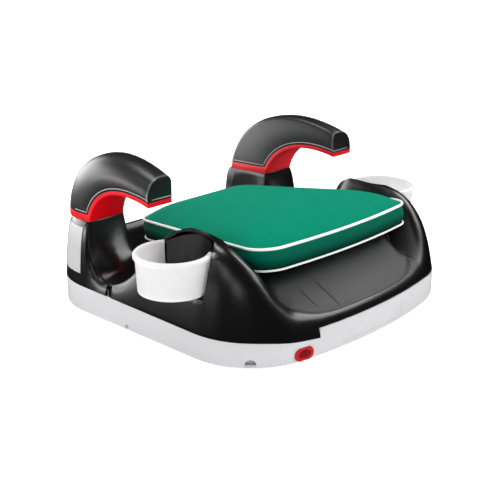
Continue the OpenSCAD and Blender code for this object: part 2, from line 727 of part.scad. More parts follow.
module armrest_pad_right() {
    armrest_pad(1);
}
module armrest_screws() {
    head_z = -shell_wall - fit_gap;
    color("silver") for (side = [-1, 1]) each_arm_screw(side) {
        translate([0, 0, head_z - head_t]) cylinder(r = head_r, h = head_t);
        translate([0, 0, head_z - 1]) cylinder(r = screw_r, h = shell_wall + arm_screw_l);
    }
}

// Cushion outline: bowed front, round corners, sides that taper to the rear. Its middle is at its centre.
cushion_front_y = y_front + cushion_front_in;
cushion_rear_y = y_back - cushion_back_in;
front_c = [half_w - cushion_side_in - cushion_r, cushion_front_y + cushion_r];
rear_c = [half_w - cushion_rear_in - cushion_r, cushion_rear_y - cushion_r];
side_turn = atan((front_c[0] - rear_c[0]) / (rear_c[1] - front_c[1]));
function cushion_half(inset) = concat(
    [for (i = [0:4]) let (x = front_c[0] * i / 5)
        [x, front_c[1] - cushion_r + inset - cushion_bow * (1 - (i / 5)^2)]],
    [for (i = [0:9]) let (a = mix(-90, side_turn, i / 9)) front_c + (cushion_r - inset) * [cos(a), sin(a)]],
    [for (i = [1:4]) let (a = side_turn)
        mix(front_c, rear_c, i / 5) + (cushion_r - inset) * [cos(a), sin(a)]],
    [for (i = [0:8]) let (a = mix(side_turn, 90, i / 8)) rear_c + (cushion_r - inset) * [cos(a), sin(a)]],
    [for (i = [2:-1:0]) [rear_c[0] * i / 3, rear_c[1] + cushion_r - inset]]);
function cushion_ring(inset) = let (h = cushion_half(inset))
    concat(h, [for (i = [len(h) - 2:-1:1]) [-h[i][0], h[i][1]]]);
cushion_mid_y = (cushion_front_y + cushion_rear_y) / 2;
function shrunk(ring, s) = [for (p = ring) [p[0] * s, cushion_mid_y + (p[1] - cushion_mid_y) * s]];
hem = 2;
module on_pan(lift) {
    translate([0, pan_front_y, pan_z + lift]) rotate([-pan_fall, 0, 0])
        translate([0, -pan_front_y, 0]) children();
}
module seat_cushion() {
    edge = cushion_ring(0);
    top_z = hem + boxing_h;
    rings = concat(
        [[shrunk(edge, 0.97), 0], [edge, hem]],
        [for (u = [0.25, 0.5, 0.75]) [cushion_ring(-boxing_bulge * sin(180 * u)), hem + boxing_h * u]],
        [[edge, top_z]],
        [for (s = [0.97, 0.91, 0.82, 0.68, 0.48, 0.22]) [shrunk(edge, s), top_z + crown_h * (1 - s^4.5)]]);
    color([0.03, 0.55, 0.42]) on_pan(tape_t + fit_gap)
        closed_rings([for (i = [0:len(edge) - 1]) [for (r = rings) [r[0][i][0], r[0][i][1], r[1]]]]);
}
// Piping: a round cord beside the cushion's edge.
module piping(z) {
    sides = 8;
    path = cushion_ring(-piping_d / 2 - fit_gap);
    n = len(path);
    points = [for (i = [0:n - 1])
        let (d = path[(i + 1) % n] - path[(i + n - 1) % n], out = [d[1], -d[0]] / norm(d))
        for (k = [0:sides - 1]) let (a = 360 * k / sides)
            [path[i][0] + out[0] * piping_d / 2 * cos(a), path[i][1] + out[1] * piping_d / 2 * cos(a),
                z + piping_d / 2 * sin(a)]];
    faces = [for (i = [0:n - 1]) for (k = [0:sides - 1])
        let (a = i * sides + k, b = i * sides + (k + 1) % sides,
            c = ((i + 1) % n) * sides + k, e = ((i + 1) % n) * sides + (k + 1) % sides)
        each [[a, b, e], [a, e, c]]];
    color([0.95, 0.95, 0.95]) on_pan(tape_t + fit_gap) polyhedron(points = points, faces = faces);
}
module cushion_piping_top() {
    piping(hem + boxing_h);
}
module cushion_piping_bottom() {
    piping(hem);
}
tape_in = 72;
tape_w = 25;
tape_l = 110;
module cushion_tapes() {
    color([0.1, 0.1, 0.1]) on_pan(0) for (y = [cushion_front_y + tape_in, cushion_rear_y - tape_in])
        translate([-tape_l / 2, y - tape_w / 2, 0]) cube([tape_l, tape_w, tape_t]);
}

module push_button() {
    dish_r = 22;
    color([0.85, 0.05, 0.08]) at_button() difference() {
        union() {
            along_y(-button_proud, cap_l) button_shape(0);
            along_y(cap_l - button_proud - 1, stem_end - cap_l + button_proud + 1) circle(stem_r);
        }
        translate([0, -button_proud - dish_r + 2, 0]) sphere(r = dish_r, $fn = 96);
    }
}
spring_from = cap_l - button_proud + wire_d / 2 + 0.1;
spring_to = guide_in - wire_d / 2 - 0.1;
module button_spring() {
    turns = 6;
    per_turn = 12;
    sides = 6;
    coil_r = stem_r + 1 + wire_d / 2;
    n = turns * per_turn;
    points = [for (i = [0:n]) let (a = 360 * i / per_turn, y = mix(spring_from, spring_to, i / n))
        for (k = [0:sides - 1]) let (b = 360 * k / sides, r = coil_r + wire_d / 2 * cos(b))
            [r * cos(a), y + wire_d / 2 * sin(b), r * sin(a)]];
    faces = concat(
        [for (i = [0:n - 1]) for (k = [0:sides - 1])
            let (a = i * sides + k, b = i * sides + (k + 1) % sides)
            each [[a, b + sides, b], [a, a + sides, b + sides]]],
        [[for (k = [0:sides - 1]) k], [for (k = [sides - 1:-1:0]) n * sides + k]]);
    color("silver") at_button() polyhedron(points = points, faces = faces);
}
module button_clip() {
    color("silver") at_button() along_y(clip_from, clip_t) difference() {
        circle(stem_r + 3);
        circle(stem_r + 0.05);
    }
}

base_tray();
rubber_feet();
base_screws();
seat_shell();
niche_liner_left();
niche_liner_right();
armrest_core_left();
armrest_core_right();
armrest_pad_left();
armrest_pad_right();
armrest_screws();
seat_cushion();
cushion_piping_top();
cushion_piping_bottom();
cushion_tapes();
cup_holder_left();
cup_holder_right();
push_button();
button_spring();
button_clip();
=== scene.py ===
# %% [markdown]
# # A booster seat, dressed from its CAD frame
# The CAD model gives every rigid piece its exact size and place. This lesson gives the pieces their
# looks: rounded edges, a stuffed cushion, piping, and materials that are made from nodes alone. The CAD
# box is kept, because the dressed seat has to stay as large.

import json
import math

import bpy
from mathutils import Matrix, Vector


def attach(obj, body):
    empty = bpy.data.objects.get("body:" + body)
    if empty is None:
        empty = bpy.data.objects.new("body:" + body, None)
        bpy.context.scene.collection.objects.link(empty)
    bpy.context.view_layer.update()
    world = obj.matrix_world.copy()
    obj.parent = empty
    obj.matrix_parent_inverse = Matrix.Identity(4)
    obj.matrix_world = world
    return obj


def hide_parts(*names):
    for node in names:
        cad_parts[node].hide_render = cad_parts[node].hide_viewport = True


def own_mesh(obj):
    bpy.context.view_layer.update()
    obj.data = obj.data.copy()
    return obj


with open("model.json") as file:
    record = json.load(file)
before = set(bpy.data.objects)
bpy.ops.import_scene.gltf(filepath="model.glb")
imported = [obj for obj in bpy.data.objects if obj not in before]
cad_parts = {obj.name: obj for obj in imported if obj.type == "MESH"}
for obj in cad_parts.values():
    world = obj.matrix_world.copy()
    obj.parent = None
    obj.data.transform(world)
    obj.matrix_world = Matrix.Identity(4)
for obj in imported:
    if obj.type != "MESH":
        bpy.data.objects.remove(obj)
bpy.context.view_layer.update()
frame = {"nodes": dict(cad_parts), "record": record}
nodes = frame["nodes"]
MM = 0.001

# %% [markdown]
# ## Camera
# The photograph was taken from the front left, a little above the seat, with a long lens. The numbers
# come from fitting a camera to the outline of the tray, the armrests and the cups. A small vertical shift
# keeps the frame.

# %% Camera
camera_place = Vector((-0.9817, -0.918, 0.5345))
camera_target = Vector((-0.0224, -0.0082, 0.094))
camera = bpy.data.objects.new("camera", bpy.data.cameras.new("camera"))
bpy.context.scene.collection.objects.link(camera)
camera.location = camera_place
camera.rotation_euler = (camera_target - camera_place).to_track_quat("-Z", "Y").to_euler()
camera.data.lens = 72.94
camera.data.sensor_width = 36
camera.data.shift_y = -0.0274
bpy.context.scene.camera = camera
print("camera to seat: %.2f m" % (camera_target - camera_place).length)

# %% [markdown]
# ## Studio
# A product photograph on white needs a pale floor that the light turns white. A studio would hang a paper
# sweep; here a wide plane and a pale world do. Neither shows in reflections, so black plastic stays black
# where it mirrors no lamp.

# %% Floor and world
bpy.context.scene.view_settings.view_transform = "Standard"
bpy.ops.object.select_all(action="DESELECT")
bpy.ops.mesh.primitive_plane_add(size=40, location=(0, 0, 0))
floor = bpy.context.object
floor.name = "floor"
floor.visible_glossy = False

world = bpy.data.worlds.new("studio")
bpy.context.scene.world = world
world.use_nodes = True
background = world.node_tree.nodes["Background"]
background.inputs["Color"].default_value = (1, 1, 1, 1)
background.inputs["Strength"].default_value = 0.7
world.cycles_visibility.glossy = False
print("floor:", floor.dimensions.x, "m wide")

# %% [markdown]
# The lamps are softboxes. One big lamp for everything would burn out the white tray before the black
# shell shows a highlight, so the two jobs are split: a lamp that doesn't fill is only mirrored in glossy
# plastic, and a lamp that doesn't shine only brightens what is matt. Each highlight then sits where the
# photograph has it. Four of the lamps stand in a rising row on the left and draw the long strip on the
# near armrest.

# %% Softboxes
seat_middle = Vector((0, 0, 0.1))


def softbox(name, place, size, watts, fills=True, shines=True):
    """A rectangular lamp at place, of this width and height, that looks at the seat."""
    lamp = bpy.data.objects.new(name, bpy.data.lights.new(name, "AREA"))
    bpy.context.scene.collection.objects.link(lamp)
    lamp.location = place
    lamp.rotation_euler = (seat_middle - Vector(place)).to_track_quat("-Z", "Y").to_euler()
    lamp.data.shape = "RECTANGLE"
    lamp.data.size, lamp.data.size_y = size
    lamp.data.energy = watts
    lamp.visible_camera = False
    lamp.visible_diffuse = fills
    lamp.visible_glossy = shines


softbox("rear_softbox", (-0.35, 1.95, 0.45), (1.8, 0.9), 33, fills=False)
softbox("rear_left_softbox", (-1.75, 1.7, 0.22), (0.8, 0.42), 11, fills=False)
softbox("low_left_softbox", (-2.0, 0.45, 0.22), (0.6, 0.4), 1.4, fills=False)
for number in range(4):
    strip_place = (-1.5, -0.9 + 0.6 * number, 0.68 + 0.3 * number)
    softbox("strip_softbox_%d" % number, strip_place, (0.5, 0.4), 1.8, fills=False)
softbox("front_softbox", (0.9, -0.75, 1.15), (0.9, 0.6), 10, fills=False)
softbox("bolster_softbox", (1.1, -1.04, 0.87), (0.35, 0.3), 2.2, fills=False)
softbox("front_fill", (1.2, -1.6, 0.8), (0.8, 0.8), 7, shines=False)
softbox("left_fill", (-1.9, 0.9, 0.6), (0.8, 0.8), 5, shines=False)
softbox("right_softbox", (1.3, -0.2, 1.5), (0.7, 0.7), 11)
softbox("top_softbox", (-0.2, 0.45, 1.5), (0.5, 0.5), 8)
print("softboxes:", len(bpy.data.lights))

# %% [markdown]
# A very wide sun takes the place of a white ceiling. It gives the soft, even shade under the cushion and
# the cups.

# %% Sky
sky = bpy.data.objects.new("sky", bpy.data.lights.new("sky", "SUN"))
bpy.context.scene.collection.objects.link(sky)
sky.rotation_euler = (math.radians(8), math.radians(-8), 0)
sky.data.energy = 0.35
sky.data.angle = math.radians(120)
sky.visible_glossy = False
print("sky: %.0f degrees wide" % math.degrees(sky.data.angle))

# %% [markdown]
# ## Writing materials as expressions
# A material is a small program. Wiring it node by node takes many lines, so this class wraps a socket,
# and `mask * 0.3 + 0.2` adds its Math nodes by itself.


# %% Shader expressions
class Value:
    """A socket of a finish, with Python's operators."""

    def __init__(self, finish, socket):
        self.finish = finish
        self.socket = socket

    def maths(self, operation, a, b=0.0):
        return self.finish.node("ShaderNodeMath", {"operation": operation}, {0: a, 1: b})

    def __add__(self, other):
        return self.maths("ADD", self, other)

    def __radd__(self, other):
        return self.maths("ADD", other, self)

    def __sub__(self, other):
        return self.maths("SUBTRACT", self, other)

    def __rsub__(self, other):
        return self.maths("SUBTRACT", other, self)

    def __mul__(self, other):
        return self.maths("MULTIPLY", self, other)

    def __rmul__(self, other):
        return self.maths("MULTIPLY", other, self)

    def __truediv__(self, other):
        return self.maths("DIVIDE", self, other)

    def __rtruediv__(self, other):
        return self.maths("DIVIDE", other, self)

    def __abs__(self):
        return self.maths("ABSOLUTE", self)

    def power(self, exponent):
        return self.maths("POWER", self, exponent)

    def sine(self):
        return self.maths("SINE", self)

    def step(self, low, high):
        """0 at low, 1 at high, smooth between; low may be the larger one."""
        settings = {"interpolation_type": "SMOOTHSTEP"}
        return self.finish.node("ShaderNodeMapRange", settings, {"Value": self, 1: low, 2: high})


# %% [markdown]
# A finish is one material. Its `node` method adds any node from its type, its settings and its sockets,
# and the methods after it are short names for the nodes that come back in every finish. All patterns read
# Object coordinates: on these pieces they are metres on the seat, so a pattern has its real size and
# stays in place when a piece moves.


# %% Finish
class Finish:
    """One material: a Principled shader and the nodes that feed it."""

    def __init__(self, name, **sockets):
        self.material = bpy.data.materials.new(name)
        self.material.use_nodes = True
        self.tree = self.material.node_tree
        self.shader = self.tree.nodes["Principled BSDF"]
        self.place = self.node("ShaderNodeTexCoord", out="Object")
        self.relief = None
        self.set(**sockets)

    def node(self, kind, settings=None, sockets=None, out=0):
        made = self.tree.nodes.new(kind)
        for name, value in (settings or {}).items():
            setattr(made, name, value)
        for name, value in (sockets or {}).items():
            self.feed(made.inputs[name], value)
        return Value(self, made.outputs[out])

    def feed(self, socket, value):
        if isinstance(value, Value):
            self.tree.links.new(value.socket, socket)
        else:
            socket.default_value = value

    def set(self, **sockets):
        """Feeds the shader's sockets; a space in a socket's name is written as _."""
        for name, value in sockets.items():
            self.feed(self.shader.inputs[name.replace("_", " ")], value)

    def axes(self):
        """The x, y and z of the point that is shaded."""
        split = self.node("ShaderNodeSeparateXYZ", None, {0: self.place})
        return [Value(self, socket) for socket in split.socket.node.outputs]

    def noise(self, size, detail=2.0, roughness=0.5):
        """Cloudy noise whose lumps are about size metres."""
        sockets = {"Vector": self.place, "Scale": 1 / size, "Detail": detail, "Roughness": roughness}
        return self.node("ShaderNodeTexNoise", None, sockets, "Fac")

    def cells(self, size, feature="F1"):
        """Distance field of cells of about size metres."""
        sockets = {"Vector": self.place, "Scale": 1 / size}
        return self.node("ShaderNodeTexVoronoi", {"feature": feature}, sockets, "Distance")

    def mixed(self, factor, first, second):
        """A colour between first, at 0, and second, at 1; a Mix node's colours are its sockets 6, 7 and 2."""
        return self.node("ShaderNodeMix", {"data_type": "RGBA"}, {0: factor, 6: first, 7: second}, 2)

    def bump(self, height, depth, strength=1.0):
        """Adds relief to what is there: a height of 1 stands depth metres proud."""
        sockets = {"Height": height, "Distance": depth, "Strength": strength}
        if self.relief is not None:
            sockets["Normal"] = self.relief
        self.relief = self.node("ShaderNodeBump", None, sockets)
        self.set(Normal=self.relief)


def grey(value):
    return (value, value, value, 1)


# %% [markdown]
# ## Finishes
# The floor is a plain pale card. A little light of its own keeps it white to the edge of the picture.

# %% Floor card
card_finish = Finish("pale_card", Roughness=0.9, Emission_Color=(1, 1, 1, 1), Emission_Strength=0.5)
card_finish.set(Base_Color=card_finish.mixed(card_finish.noise(0.8), grey(0.9), grey(0.93)))
floor.data.materials.append(card_finish.material)
print("floor finish:", card_finish.material.name)

# %% [markdown]
# The shell is black moulded plastic with a fine spark-eroded grain. Its front slope, up to the ridge that
# frames it, is duller and leathery, and its grey colour there is painted light, the soft light that the slope
# catches. Towards the cushion the grey fades to black, a painted shadow under the cushion's front. A painted
# mask would need an image. A rounded box in plan, made of fourth powers, follows the ridge with two half
# sizes and fades softly at its border.

# %% Shell plastic
slope_middle_x = 8 * MM
slope_half_width = 148 * MM
slope_back = 100 * MM
slope_depth = 97 * MM
# Over this range the slope's grey fades out towards the cushion: a painted shadow under its front.
painted_shadow_fade = (120 * MM, 160 * MM)
rim_fade = (47 * MM, 51 * MM)

shell_finish = Finish("black_grained_plastic", IOR=1.5)
x, y, z = shell_finish.axes()
across = (x - slope_middle_x) / slope_half_width
ahead = (-1 * y - slope_back) / slope_depth
inside_ridge = (across.power(4) + ahead.power(4)).step(1.05, 0.85)
slope_finish_and_painted_light = inside_ridge * (-1 * y).step(*painted_shadow_fade) * z.step(*rim_fade)
cloud = shell_finish.noise(40 * MM, 3.0)
speckle = shell_finish.noise(0.9 * MM, 3.0, 0.6)
pores = shell_finish.cells(1.6 * MM, "SMOOTH_F1")
# The slope's grey is painted light and its fade near the cushion is painted shadow; its higher roughness and
# pores are its real finish.
shell_finish.set(
    Base_Color=shell_finish.mixed(slope_finish_and_painted_light * (0.75 + 0.25 * cloud), grey(0.004), grey(0.045)),
    Roughness=0.26 + 0.05 * cloud + 0.3 * slope_finish_and_painted_light,
)
shell_finish.bump(speckle, 0.12 * MM, 0.5)
shell_finish.bump(pores * slope_finish_and_painted_light, 0.5 * MM, 0.6)
print("shell finish:", len(shell_finish.tree.nodes), "nodes")

# %% [markdown]
# Three faint creases run down the slope, a little slanted. They are too shallow to show in the outline,
# so each is a narrow line in the relief that fades in at its upper end and out at its lower one.

# %% Creases
crease_slant = 0.13
crease_start = 148 * MM
crease_half_width = 2.2 * MM
crease_fade = 14 * MM
creases_in_mm = ((-89, 150, 186), (-58, 146, 196), (122, 138, 186))

for crease_x, upper_end, lower_end in creases_in_mm:
    line_x = crease_x * MM - crease_slant * crease_start
    beside = abs(x - line_x + crease_slant * y)
    groove = (crease_half_width - beside).step(0.0, crease_half_width)
    fades_in = (-1 * y).step(upper_end * MM, upper_end * MM + crease_fade)
    fades_out = (lower_end * MM + y).step(0.0, crease_fade)
    shell_finish.bump(groove * (fades_in * fades_out), -1.5 * MM, 0.8)
print("creases:", len(creases_in_mm))

# %% [markdown]
# The armrest pads are a softer black with a satin grain. A pale ring round the tip, just behind its end face,
# is a painted highlight: the light that the tip's rounded edge catches. The ring is a band of the y axis,
# which runs along the armrest.

# %% Pad plastic
tip_highlight_width = 3.5 * MM

pad_finish = Finish("black_satin_pad", IOR=1.5)
pad_cloud = pad_finish.noise(30 * MM)
pad_tip = pad_finish.axes()[1] * -1
# The pale grey ring just behind the tip's end face is a painted highlight.
painted_tip_highlight = pad_tip.step(-0.4 * MM, 1.0 * MM) * (tip_highlight_width - pad_tip).step(0.1 * MM, 0.6 * MM)
pad_black = pad_finish.mixed(pad_cloud, grey(0.008), grey(0.013))
pad_finish.set(
    Base_Color=pad_finish.mixed(painted_tip_highlight, pad_black, grey(0.09)),
    Roughness=0.36 + 0.04 * pad_cloud,
)
pad_finish.bump(pad_finish.noise(0.7 * MM, 3.0, 0.6), 0.08 * MM, 0.3)
print("pad finish:", len(pad_finish.tree.nodes), "nodes")

# %% [markdown]
# The tray is white and slightly cool. Its snap fingers reach up into slots in the shell, where they sit in
# shade. They are part of the tray's mesh, so a narrow mask at their place paints that shade on them in near
# black, which saves cutting them off.

# %% White plastic
finger_y = 65.5 * MM
finger_half_width = 2.2 * MM
finger_foot_z = 39.6 * MM

white_finish = Finish("white_moulded_plastic", IOR=1.46)
y, z = white_finish.axes()[1:]
white_cloud = white_finish.noise(60 * MM)
beside_finger = abs(y - finger_y)
# Near black where the snap fingers sit in the shell's slots: painted shade.
finger_painted_shade = (finger_half_width - beside_finger).step(0.0, 0.4 * MM) * z.step(finger_foot_z, 40 * MM)
tray_white = white_finish.mixed(white_cloud, (0.58, 0.58, 0.595, 1), (0.61, 0.61, 0.625, 1))
white_finish.set(
    Base_Color=white_finish.mixed(finger_painted_shade, tray_white, grey(0.02)),
    Roughness=0.34 + 0.08 * white_cloud,
)
white_finish.bump(white_finish.noise(1.2 * MM), 0.04 * MM, 0.4)
print("white finish:", len(white_finish.tree.nodes), "nodes")

# %% [markdown]
# The cups are thin enough for light to spread inside the wall, which evens out their shade. Subsurface
# scattering does that. Its amount is the same all over, so it is set on the shader's own sockets.

# %% Cup plastic
cup_finish = Finish("thin_white_plastic", IOR=1.46, Subsurface_Weight=0.85, Subsurface_Scale=16 * MM)
cup_cloud = cup_finish.noise(30 * MM)
cup_finish.set(
    Base_Color=cup_finish.mixed(cup_cloud, (0.66, 0.66, 0.67, 1), (0.7, 0.7, 0.71, 1)),
    Roughness=0.34 + 0.08 * cup_cloud,
    Subsurface_Radius=(1, 1, 1),
)
cup_finish.bump(cup_finish.noise(1.2 * MM), 0.03 * MM, 0.4)
print("cup finish:", len(cup_finish.tree.nodes), "nodes")

# %% [markdown]
# The armrest cores are a strong red. A low specular level keeps the lamps from washing the colour out.

# %% Red plastic
red_finish = Finish("red_moulded_plastic", IOR=1.46, Specular_IOR_Level=0.2)
red_cloud = red_finish.noise(40 * MM)
red_finish.set(
    Base_Color=red_finish.mixed(red_cloud, (0.72, 0.002, 0.008, 1), (0.8, 0.004, 0.012, 1)),
    Roughness=0.3 + 0.1 * red_cloud,
)
red_finish.bump(red_finish.noise(1.0 * MM), 0.04 * MM, 0.4)
print("red finish:", len(red_finish.tree.nodes), "nodes")

# %% [markdown]
# The cushion's cover is a fine plain weave. Two sine waves across each other give the threads, a slow cloud
# gives the unevenness of dyed cloth, and a fine one gives fuzz. The side panel gets painted shade: a darker
# green that deepens towards the seat pan. The pan slopes, so the height is measured over the pan and not over
# the floor.

# %% Cover cloth
thread_turns = 2 * math.pi / (1.1 * MM)
pan_slope = 0.1086
pan_height = 91 * MM
panel_top = 31 * MM
painted_shade_top = 26 * MM

cloth_finish = Finish("green_woven_cloth", Specular_IOR_Level=0.04)
x, y, z = cloth_finish.axes()
weave = (x * thread_turns).sine() * (y * thread_turns + z * thread_turns).sine()
wear = cloth_finish.noise(25 * MM, 4.0, 0.6)
fuzz = cloth_finish.noise(1.5 * MM, 2.0, 0.7)
thread_shade = 0.35 * wear + 0.35 * fuzz + 0.15 + 0.1 * weave
dyed = cloth_finish.mixed(thread_shade, (0.0, 0.15, 0.09, 1), (0.0, 0.3, 0.18, 1))
over_pan = z + pan_slope * y - pan_height
# The side panel's dark green is painted shade, deepest next to the pan.
painted_shade_strength = 0.55 + 0.4 * (painted_shade_top - over_pan).step(0.0, 22 * MM)
painted_side_shade = (panel_top - over_pan).step(0.0, 8 * MM) * painted_shade_strength
cloth_finish.set(
    Base_Color=cloth_finish.mixed(painted_side_shade, dyed, (0.0, 0.028, 0.018, 1)),
    Roughness=0.8 + 0.1 * wear,
)
cloth_finish.bump(weave, 0.12 * MM, 0.5)
cloth_finish.bump(fuzz, 0.15 * MM, 0.4)
print("cloth finish:", len(cloth_finish.tree.nodes), "nodes")

# %% [markdown]
# The piping is a white cloth tube. Slanted waves stand for the bias-cut threads that wind round it.

# %% Piping cloth
piping_turns = 2 * math.pi / (1.6 * MM)

piping_finish = Finish("white_piping_cloth", Sheen_Weight=0.2)
x, y, z = piping_finish.axes()
twist = ((x + y + 2 * z) * piping_turns).sine()
piping_finish.set(
    Base_Color=piping_finish.mixed(piping_finish.noise(8 * MM), grey(0.82), grey(0.9)),
    Roughness=0.75 + 0.05 * twist,
)
piping_finish.bump(twist, 0.06 * MM, 0.35)
print("piping finish:", len(piping_finish.tree.nodes), "nodes")

# %% [markdown]
# Feet, screws and the strips under the cushion are seldom seen. Rubber needs a dull grain, steel a
# changing polish and the hook-and-loop strips a field of tiny lumps.

# %% Rubber, steel and strips
rubber_finish = Finish("black_rubber", Roughness=0.8)
rubber_finish.set(Base_Color=rubber_finish.mixed(rubber_finish.noise(9 * MM), grey(0.012), grey(0.03)))
rubber_finish.bump(rubber_finish.cells(2 * MM), 0.2 * MM, 0.5)

steel_finish = Finish("plain_steel", Metallic=1.0)
steel_finish.set(
    Base_Color=steel_finish.mixed(steel_finish.noise(3 * MM), grey(0.4), grey(0.55)),
    Roughness=0.3 + 0.15 * steel_finish.noise(1 * MM),
)

strip_finish = Finish("hook_and_loop", Roughness=0.95)
strip_finish.set(Base_Color=strip_finish.mixed(strip_finish.noise(1 * MM), grey(0.01), grey(0.05)))
strip_finish.bump(strip_finish.cells(1 * MM), 0.4 * MM, 0.8)
print("finishes so far:", len(bpy.data.materials))

# %% [markdown]
# ## Refining CAD pieces
# A CAD node comes as loose triangles with razor edges. Modelling each moulding again by hand could drift from
# the CAD sizes, so a copy of the node is refined instead: its corner points are merged and its triangles
# joined to quads. The copy starts with none of the frame's marks, because it gets a body of its own.


# %% Copying a node
def select_only(piece):
    """Operators act on all that is selected, so this leaves one piece selected and active."""
    bpy.ops.object.select_all(action="DESELECT")
    piece.select_set(True)
    bpy.context.view_layer.objects.active = piece


def copy_of(node, name):
    """A separate, merged copy of a CAD node's mesh."""
    select_only(nodes[node])
    bpy.ops.object.duplicate()
    piece = bpy.context.object
    piece.name = name
    piece.data.name = name
    piece.parent = None
    for key in list(piece.keys()):
        if key.startswith("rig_"):
            del piece[key]
    piece.data.materials.clear()
    bpy.ops.object.mode_set(mode="EDIT")
    bpy.ops.mesh.select_all(action="SELECT")
    bpy.ops.mesh.customdata_custom_splitnormals_clear()
    bpy.ops.mesh.remove_doubles(threshold=0.01 * MM)
    bpy.ops.mesh.tris_convert_to_quads(face_threshold=math.radians(30), shape_threshold=math.radians(60))
    bpy.ops.object.mode_set(mode="OBJECT")
    return piece


# %% [markdown]
# Moulded edges are never razor sharp. A bevel that is limited by angle rounds only the edges that are really
# edges, and smooth shading hides the facets of the rest. A finished piece then gets its material and its
# body, and the CAD nodes that it stands for are hidden.


# %% Rounding and finishing
def apply(piece, kind, **settings):
    """Adds a modifier with these settings and applies it."""
    modifier = piece.modifiers.new(kind.lower(), kind)
    for key, value in settings.items():
        setattr(modifier, key, value)
    select_only(piece)
    bpy.ops.object.modifier_apply(modifier=modifier.name)


def soften(piece, width, angle=40, segments=3):
    """Rounds the edges that are sharper than angle and shades the faces smooth."""
    limit = math.radians(angle)
    apply(piece, "BEVEL", width=width, segments=segments, limit_method="ANGLE", angle_limit=limit)
    bpy.ops.object.shade_smooth_by_angle(angle=math.radians(35))


def finish_piece(piece, body, finish, slot, *replaced):
    """Gives a piece its finish and its body, and hides the nodes that it stands for; slot is not used."""
    piece.data.materials.clear()
    piece.data.materials.append(finish.material)
    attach(piece, body)
    if replaced:
        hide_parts(*replaced)
    print(piece.name, len(piece.data.polygons), "faces")


# %% [markdown]
# ## Seat shell
# The shell is one large moulding with soft forms: bolsters, belt saddles and posts that flow into each
# other. Its copy is subdivided once. Edges sharper than 40 degrees are creased first, so that they stay
# while all else is rounded.

# %% Seat shell
shell = copy_of("seat_shell", "shell_moulding")
bpy.ops.object.mode_set(mode="EDIT")
bpy.ops.mesh.select_mode(type="EDGE")
bpy.ops.mesh.select_all(action="DESELECT")
bpy.ops.mesh.edges_select_sharp(sharpness=math.radians(40))
bpy.ops.transform.edge_crease(value=1)
bpy.ops.object.mode_set(mode="OBJECT")
apply(shell, "SUBSURF", levels=1, render_levels=1)
print("shell after subdivision:", len(shell.data.polygons), "faces")

# %% [markdown]
# On the real seat the front of each post runs out into the belt saddle in a soft bowl. The points there
# are pushed forward, most at the foot of the post, and the push fades out on all sides, so no new edge
# appears. A bevel could not do this, because the two faces meet in no single edge.

# %% Post fillets
post_fillet = 18 * MM
bowl_x = (122 * MM, 150 * MM, 172 * MM, 207 * MM)
bowl_y = (66 * MM, 106 * MM, 119 * MM, 136 * MM)
bowl_top_z = 127 * MM
bowl_depth = 50 * MM
bowl_curve = 1.6


def ramp(value, low, high):
    """0 at low, 1 at high, smooth between; low may be the larger one."""
    share = min(1, max(0, (value - low) / (high - low)))
    return share * share * (3 - 2 * share)


def plateau(value, rise, full, fade, end):
    """0 outside rise and end, 1 between full and fade."""
    return ramp(value, rise, full) * ramp(value, end, fade)


for vertex in shell.data.vertices:
    x, y, z = vertex.co
    down = min(1, max(0, (bowl_top_z - z) / bowl_depth))
    vertex.co.y -= post_fillet * plateau(abs(x), *bowl_x) * plateau(y, *bowl_y) * down**bowl_curve
soften(shell, 0.6 * MM, 50, 2)
finish_piece(shell, "seat", shell_finish, "black_shell", "seat_shell")

# %% [markdown]
# ## Niche liners and tray
# A black arched liner closes each cup's niche, and the white tray closes the shell from below. Both have
# the right form in CAD, so their copies only get round edges.

# %% Niche liners and tray
sides = ("left", "right")

for side in sides:
    liner = copy_of("niche_liner_" + side, "niche_wall_" + side)
    soften(liner, 1.0 * MM)
    finish_piece(liner, "seat", shell_finish, "black_shell", "niche_liner_" + side)

tray = copy_of("base_tray", "tray_moulding")
soften(tray, 0.5 * MM, 50, 2)
finish_piece(tray, "seat", white_finish, "white_plastic", "base_tray")

# %% [markdown]
# The notch under each front corner is closed behind by a small white wall, so no dark hollow shows
# through it. Each wall is a thin block that stands just inside the tray's wall, turned square to the
# round corner.

# %% Notch walls
wall_size = (18 * MM, 1 * MM, 14 * MM)
wall_middle_z = 11 * MM
corner_x = 114 * MM
corner_y = -97 * MM
corner_reach = 91 * MM
corner_angle = 47

for side, way in zip(sides, (-1, 1)):
    turn = math.radians(way * corner_angle)
    bpy.ops.object.select_all(action="DESELECT")
    bpy.ops.mesh.primitive_cube_add(size=1, location=(0, 0, 0))
    wall = bpy.context.object
    wall.name = "notch_wall_" + side
    wall.scale = wall_size
    wall.rotation_euler = (0, 0, turn)
    wall_x = way * corner_x + corner_reach * math.sin(turn)
    wall_y = corner_y - corner_reach * math.cos(turn)
    wall.location = (wall_x, wall_y, wall_middle_z)
    bpy.ops.object.transform_apply(location=True, rotation=True, scale=True)
    soften(wall, 0.2 * MM)
    finish_piece(wall, "seat", white_finish, "white_plastic")

# %% [markdown]
# ## Armrests
# Each armrest pad ends in a thin pale bead just above the red core; its pale grey is a painted highlight, the
# line of light that the pad's bevelled lower edge catches. A curve drawn by hand would have to follow the
# pad's border in space, but the border is already in the mesh: the sharp edges between the pad's walls and
# the cut that faces the core. They are found by the place and the normal of their two faces.

# %% Finding a pad's border
pad_inner_x = 162 * MM
pad_outer_x = 199 * MM
pad_front_y = 0
pad_rear_y = 185 * MM
cut_low_z = 60 * MM
cut_high_z = 185 * MM


def is_wall(face):
    """A side or an end of a pad that doesn't look down."""
    on_side = not pad_inner_x <= abs(face.center.x) <= pad_outer_x
    on_end = not pad_front_y <= face.center.y <= pad_rear_y
    return (on_side or on_end) and face.normal.z > -0.5


